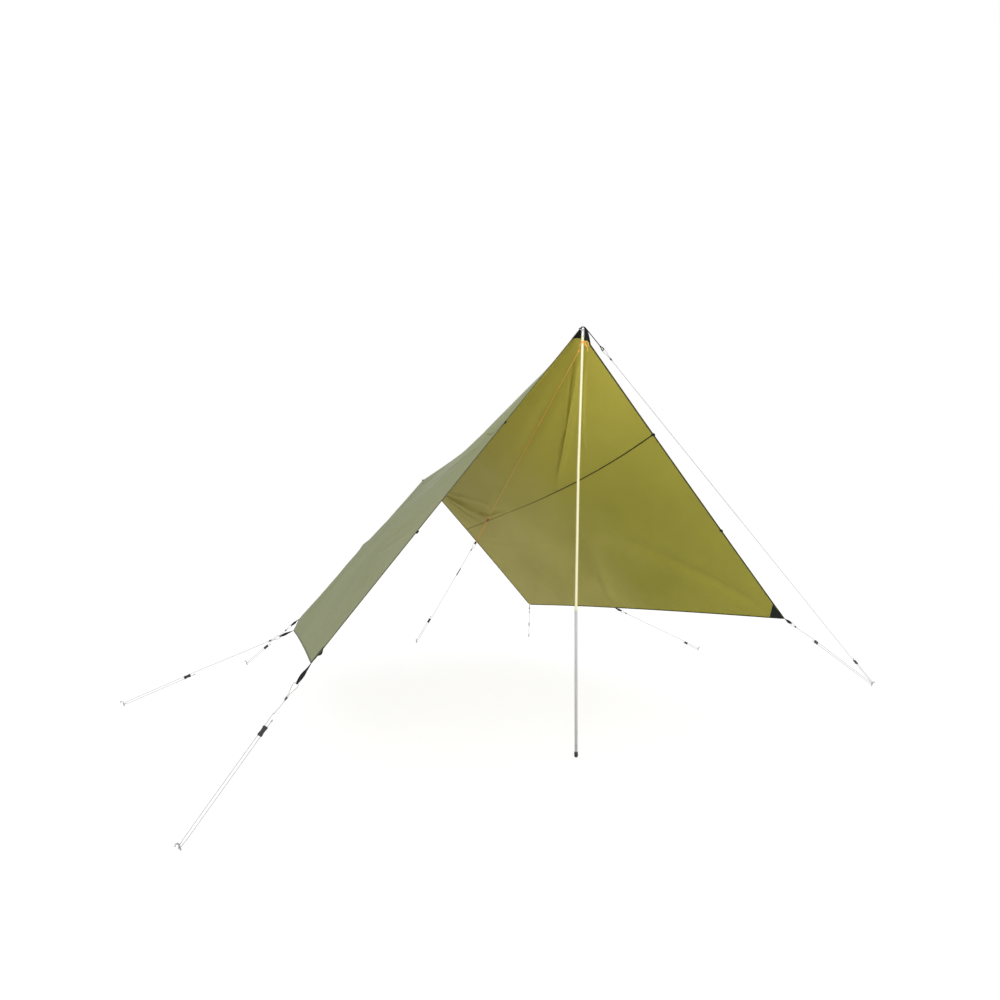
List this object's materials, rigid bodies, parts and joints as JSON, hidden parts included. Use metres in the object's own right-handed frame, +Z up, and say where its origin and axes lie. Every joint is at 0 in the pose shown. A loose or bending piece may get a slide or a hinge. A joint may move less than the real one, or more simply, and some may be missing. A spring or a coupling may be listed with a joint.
{
  "type": "camping tarp",
  "caption": "Camping tarp pitched on a front pole: ridged canopy with bound edges and webbing loops, stayed by guylines with sliders and ground stakes.",
  "frame": {"origin": "centre of the pole foot's flat underside, on the ground", "axes": "+Z up, +Y from the open front to the rear along the ridge, +X to the right as seen from the front"},
  "size_m": [5.2761, 3.317, 2.5552],
  "materials": {
    "cloth": "coated ripstop fabric, olive green, satin",
    "trim": "black webbing and binding tape",
    "cord": "braided light grey cord",
    "inner_cord": "braided orange cord",
    "slider": "black moulded plastic",
    "tube": "anodised aluminium tube",
    "ferrule": "bare aluminium",
    "foot": "black rubber",
    "eyelet": "nickel plated brass",
    "stake": "steel wire"
  },
  "bodies": {
    "tarp": {"canopy_middle": "cloth", "canopy_right": "cloth", "canopy_left": "cloth", "patch_peak": "trim", "patch_front_right": "trim", "patch_front_left": "trim", "binding_front": "trim", "binding_rear": "trim", "binding_right": "trim", "binding_left": "trim", "tab_front_right_upper": "trim", "tab_front_right_lower": "trim", "tab_front_left_upper": "trim", "tab_front_left_lower": "trim", "tab_rear_left": "trim", "tab_ridge_end": "trim", "guy_loop_front_right": "trim", "guy_loop_side_right": "trim", "guy_loop_rear_right": "trim", "guy_loop_rear_middle": "trim", "guy_loop_front_left": "trim", "guy_loop_side_left": "trim", "guy_loop_rear_left": "trim", "guy_loop_peak": "trim", "peak_plate": "trim", "peak_eyelet": "eyelet", "guyline_front_right": "cord", "guyline_side_right": "cord", "guyline_rear_right": "cord", "guyline_rear_middle": "cord", "guyline_front_left": "cord", "guyline_side_left": "cord", "guyline_rear_left": "cord", "guyline_peak": "cord", "inner_cord": "inner_cord"},
    "pole": {"pole_foot": "foot", "pole_section_1": "tube", "pole_section_2": "tube", "pole_section_3": "tube", "pole_ferrule_1": "ferrule", "pole_ferrule_2": "ferrule", "pole_tip": "ferrule", "shock_cord": "cord"},
    "slider_front_right": {"slider_front_right": "slider"},
    "slider_side_right": {"slider_side_right": "slider"},
    "slider_rear_right": {"slider_rear_right": "slider"},
    "slider_rear_middle": {"slider_rear_middle": "slider"},
    "slider_front_left": {"slider_front_left": "slider"},
    "slider_side_left": {"slider_side_left": "slider"},
    "slider_rear_left": {"slider_rear_left": "slider"},
    "slider_peak": {"slider_peak": "slider"},
    "slider_inner": {"slider_inner": "slider"},
    "stake_front_right": {"stake_front_right": "stake"},
    "stake_side_right": {"stake_side_right": "stake"},
    "stake_rear_right": {"stake_rear_right": "stake"},
    "stake_rear_middle": {"stake_rear_middle": "stake"},
    "stake_front_left": {"stake_front_left": "stake"},
    "stake_side_left": {"stake_side_left": "stake"},
    "stake_rear_left": {"stake_rear_left": "stake"}
  },
  "joints": [
    {"name": "pole_spin", "type": "hinge", "parent": "tarp", "child": "pole", "pos_m": [0, 0, 0], "axis": [0, 0, 1], "continuous": true},
    {"name": "slider_front_right_slide", "type": "slide", "parent": "tarp", "child": "slider_front_right", "axis": [0.8864, 0.2258, -0.4041], "range_m": [-0.018, 1.076]},
    {"name": "slider_side_right_slide", "type": "slide", "parent": "tarp", "child": "slider_side_right", "axis": [0.8932, 0.2647, -0.3634], "range_m": [-0.018, 0.17]},
    {"name": "slider_rear_right_slide", "type": "slide", "parent": "tarp", "child": "slider_rear_right", "axis": [0.4166, 0.7254, -0.5479], "range_m": [-0.018, 0.226]},
    {"name": "slider_rear_middle_slide", "type": "slide", "parent": "tarp", "child": "slider_rear_middle", "axis": [-0.2294, 0.5573, -0.798], "range_m": [-0.018, 0.209]},
    {"name": "slider_front_left_slide", "type": "slide", "parent": "tarp", "child": "slider_front_left", "axis": [-0.5897, 0.008, -0.8076], "range_m": [-0.018, 0.435]},
    {"name": "slider_side_left_slide", "type": "slide", "parent": "tarp", "child": "slider_side_left", "axis": [-0.7564, 0.5054, -0.4152], "range_m": [-0.018, 0.414]},
    {"name": "slider_rear_left_slide", "type": "slide", "parent": "tarp", "child": "slider_rear_left", "axis": [-0.4684, 0.6516, -0.5967], "range_m": [-0.018, 0.195]},
    {"name": "slider_peak_slide", "type": "slide", "parent": "tarp", "child": "slider_peak", "axis": [0.7799, 0.0597, -0.6231], "range_m": [-0.018, 0.23]},
    {"name": "slider_inner_slide", "type": "slide", "parent": "tarp", "child": "slider_inner", "axis": [0.1812, 0.8729, -0.4529], "range_m": [-0.018, 0.411]},
    {"name": "stake_front_right_pull", "type": "slide", "parent": "tarp", "child": "stake_front_right", "axis": [0.324, -0.1095, 0.9397], "range_m": [0, 0.15]},
    {"name": "stake_side_right_pull", "type": "slide", "parent": "tarp", "child": "stake_side_right", "axis": [0.3354, 0.0669, 0.9397], "range_m": [0, 0.15]},
    {"name": "stake_rear_right_pull", "type": "slide", "parent": "tarp", "child": "stake_rear_right", "axis": [0.215, 0.266, 0.9397], "range_m": [0, 0.15]},
    {"name": "stake_rear_middle_pull", "type": "slide", "parent": "tarp", "child": "stake_rear_middle", "axis": [0.0376, 0.3399, 0.9397], "range_m": [0, 0.15]},
    {"name": "stake_front_left_pull", "type": "slide", "parent": "tarp", "child": "stake_front_left", "axis": [-0.2808, -0.1953, 0.9397], "range_m": [0, 0.15]},
    {"name": "stake_side_left_pull", "type": "slide", "parent": "tarp", "child": "stake_side_left", "axis": [-0.3233, 0.1116, 0.9397], "range_m": [0, 0.15]},
    {"name": "stake_rear_left_pull", "type": "slide", "parent": "tarp", "child": "stake_rear_left", "axis": [-0.2236, 0.2588, 0.9397], "range_m": [0, 0.15]}
  ]
}
